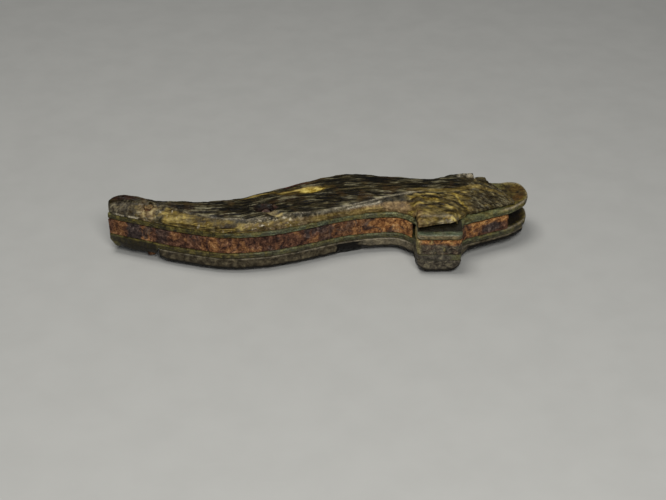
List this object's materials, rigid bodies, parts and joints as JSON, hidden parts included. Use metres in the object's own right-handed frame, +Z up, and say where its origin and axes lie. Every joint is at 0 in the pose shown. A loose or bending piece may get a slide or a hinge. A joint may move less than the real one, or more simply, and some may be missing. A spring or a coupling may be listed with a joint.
{
  "type": "rigging knife",
  "caption": "Weathered sailor's clasp knife, closed: horn scales over brass liners, rusted back spring, thumb-lug lock lever and a folding sheepsfoot blade.",
  "frame": {"origin": "centre of the closed knife's bounding box, on the surface it lies on", "axes": "+X from the tail to the toe, where the blade is hinged; +Y from the spine to the belly, where the blade opens; +Z up through the layers"},
  "size_m": [0.1046, 0.0262, 0.0154],
  "materials": {
    "horn": "dark weathered horn, split and fibrous",
    "verdigris_brass": "tarnished brass with green verdigris",
    "rusted_iron": "rusted, rough",
    "pitted_steel": "dark, pitted and rust stained"
  },
  "bodies": {
    "handle": {"lower_scale": "horn", "upper_scale": "horn", "lower_liner": "verdigris_brass", "upper_liner": "verdigris_brass", "backspring": "rusted_iron", "blade_pin": "rusted_iron", "lever_pin": "rusted_iron", "centre_pin": "rusted_iron", "butt_pin": "rusted_iron"},
    "blade": {"blade": "pitted_steel"},
    "lock": {"lock_lever": "rusted_iron"}
  },
  "joints": [
    {"name": "blade_hinge", "type": "hinge", "parent": "handle", "child": "blade", "pos_m": [0.0419, 0.006, 0.0077], "axis": [0, 0, -1], "range_deg": [0, 180]},
    {"name": "lock_rocker", "type": "hinge", "parent": "handle", "child": "lock", "pos_m": [0.0351, -0.0026, 0.0077], "axis": [0, 0, -1], "range_deg": [0, 4], "stiffness_Nm_per_rad": 0.3}
  ]
}
